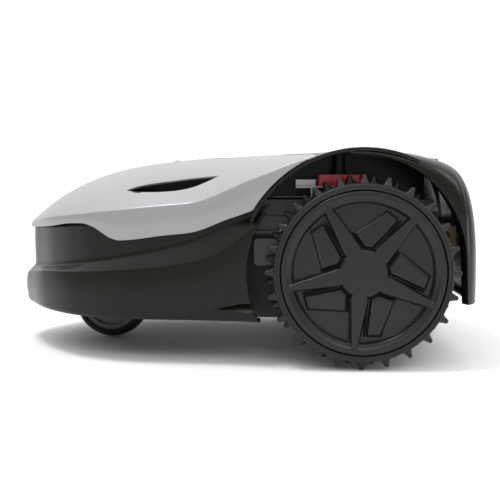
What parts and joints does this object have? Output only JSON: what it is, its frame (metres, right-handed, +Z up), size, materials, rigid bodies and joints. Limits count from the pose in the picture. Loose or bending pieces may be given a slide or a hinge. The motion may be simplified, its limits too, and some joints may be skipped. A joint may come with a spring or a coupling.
{
  "type": "robotic lawn mower",
  "caption": "Low self-driving lawn mower with a floating cover, big lugged drive wheels at the rear, a swivel caster at the nose and a height-adjustable blade disc.",
  "frame": {"origin": "on the ground under the middle of the machine", "axes": "+X forward to the nose, +Y to the left side, +Z up"},
  "size_m": [0.582, 0.4, 0.252],
  "materials": {
    "hood_shell": "satin metallic",
    "black_shell": "gloss",
    "black_moulding": "satin",
    "wheel_plastic": "satin",
    "tread_rubber": "matte",
    "caster_rubber": "matte",
    "grey_moulding": "satin",
    "damper_red": "satin",
    "stop_red": "gloss",
    "steel": "brushed",
    "zinc": "satin",
    "brass_contact": "polished",
    "board_green": "satin",
    "battery_wrap": "satin",
    "display_glass": "gloss",
    "key_grey": "matte",
    "gasket_rubber": "matte",
    "buffer_tan": "matte"
  },
  "bodies": {
    "chassis": {"chassis_tray": "black_moulding", "chassis_gasket": "gasket_rubber", "inner_lid": "grey_moulding", "lid_screws": "steel", "battery_pack": "battery_wrap", "main_board": "board_green", "loop_coils": "black_moulding", "left_gearmotor": "zinc", "right_gearmotor": "zinc", "guide_rods": "steel", "dampers": "damper_red", "damper_brackets": "zinc", "rear_buffers": "buffer_tan", "rear_brackets": "zinc", "rear_springs": "steel", "side_pods": "grey_moulding"},
    "bump_caps": {"damper_caps": "black_moulding"},
    "cover": {"hood": "hood_shell", "slot_liners": "black_moulding", "rear_deck": "black_shell", "front_skirt": "black_shell", "charging_contacts": "brass_contact", "control_panel": "grey_moulding", "display_window": "display_glass", "lid_hinge": "black_moulding", "dial_well": "black_moulding", "rain_sensor": "steel", "stop_housing": "black_moulding", "stop_spring": "steel", "cover_bosses": "black_moulding"},
    "control_lid": {"control_lid": "black_shell"},
    "stop_button": {"stop_button": "stop_red"},
    "height_dial": {"height_dial": "black_moulding"},
    "motor_carriage": {"motor_carriage": "black_moulding", "cutter_motor": "zinc"},
    "cutter": {"disc_hub": "zinc", "cutting_disc": "steel", "blade_screws": "steel"},
    "caster": {"caster_fork": "zinc", "caster_axle": "steel"},
    "caster_wheel": {"caster_hub": "grey_moulding", "caster_tread": "caster_rubber"},
    "key_power": {"key_power": "key_grey"},
    "key_home": {"key_home": "key_grey"},
    "key_start": {"key_start": "key_grey"},
    "key_enter": {"key_enter": "key_grey"},
    "blade_1": {"blade_1": "steel"},
    "blade_2": {"blade_2": "steel"},
    "blade_3": {"blade_3": "steel"},
    "left_wheel": {"left_tyre": "tread_rubber", "left_rim": "black_moulding", "left_wheel_cover": "wheel_plastic", "left_axle_shaft": "steel", "left_hub_bolt": "steel"},
    "right_wheel": {"right_tyre": "tread_rubber", "right_rim": "black_moulding", "right_wheel_cover": "wheel_plastic", "right_axle_shaft": "steel", "right_hub_bolt": "steel"}
  },
  "joints": [
    {"name": "bump_slide", "type": "slide", "parent": "chassis", "child": "bump_caps", "axis": [1, 0, 0], "range_m": [-0.005, 0.005], "stiffness_N_per_m": 1500},
    {"name": "cover_lift", "type": "slide", "parent": "bump_caps", "child": "cover", "axis": [0, 0, 1], "range_m": [0, 0.008]},
    {"name": "control_lid_hinge", "type": "hinge", "parent": "cover", "child": "control_lid", "pos_m": [-0.08, 0, 0.2455], "axis": [0, 1, 0], "range_deg": [0, 95]},
    {"name": "stop_press", "type": "slide", "parent": "cover", "child": "stop_button", "axis": [0, 0, 1], "range_m": [-0.004, 0], "stiffness_N_per_m": 1500, "springref_m": 0.002, "deforming": ["stop_spring"]},
    {"name": "key_power_press", "type": "slide", "parent": "cover", "child": "key_power", "axis": [0, 0, 1], "range_m": [-0.001, 0], "stiffness_N_per_m": 400, "springref_m": 0.001},
    {"name": "key_home_press", "type": "slide", "parent": "cover", "child": "key_home", "axis": [0, 0, 1], "range_m": [-0.001, 0], "stiffness_N_per_m": 400, "springref_m": 0.001},
    {"name": "key_start_press", "type": "slide", "parent": "cover", "child": "key_start", "axis": [0, 0, 1], "range_m": [-0.001, 0], "stiffness_N_per_m": 400, "springref_m": 0.001},
    {"name": "key_enter_press", "type": "slide", "parent": "cover", "child": "key_enter", "axis": [0, 0, 1], "range_m": [-0.001, 0], "stiffness_N_per_m": 400, "springref_m": 0.001},
    {"name": "dial_turn", "type": "hinge", "parent": "chassis", "child": "height_dial", "pos_m": [0, 0, 0.236], "axis": [0, 0, 1], "range_deg": [0, 300]},
    {"name": "carriage_slide", "type": "slide", "parent": "chassis", "child": "motor_carriage", "axis": [0, 0, 1], "range_m": [-0.04, 0]},
    {"name": "cutter_spin", "type": "hinge", "parent": "motor_carriage", "child": "cutter", "pos_m": [0, 0, 0.0615], "axis": [0, 0, 1], "continuous": true},
    {"name": "blade_1_pivot", "type": "hinge", "parent": "cutter", "child": "blade_1", "pos_m": [0.08, 0, 0.0615], "axis": [0, 0, 1], "continuous": true},
    {"name": "blade_2_pivot", "type": "hinge", "parent": "cutter", "child": "blade_2", "pos_m": [-0.04, 0.06928, 0.0615], "axis": [0, 0, 1], "continuous": true},
    {"name": "blade_3_pivot", "type": "hinge", "parent": "cutter", "child": "blade_3", "pos_m": [-0.04, -0.06928, 0.0615], "axis": [0, 0, 1], "continuous": true},
    {"name": "left_wheel_spin", "type": "hinge", "parent": "chassis", "child": "left_wheel", "pos_m": [-0.152, 0.174, 0.111], "axis": [0, 1, 0], "continuous": true},
    {"name": "right_wheel_spin", "type": "hinge", "parent": "chassis", "child": "right_wheel", "pos_m": [-0.152, -0.174, 0.111], "axis": [0, 1, 0], "continuous": true},
    {"name": "caster_swivel", "type": "hinge", "parent": "chassis", "child": "caster", "pos_m": [0.195, 0, 0.114], "axis": [0, 0, 1], "continuous": true},
    {"name": "caster_spin", "type": "hinge", "parent": "caster", "child": "caster_wheel", "pos_m": [0.173, 0, 0.051], "axis": [0, 1, 0], "continuous": true}
  ],
  "couplings": [
    {"joint": "dial_turn", "follows": "carriage_slide", "rad_per_m": -130.89}
  ]
}
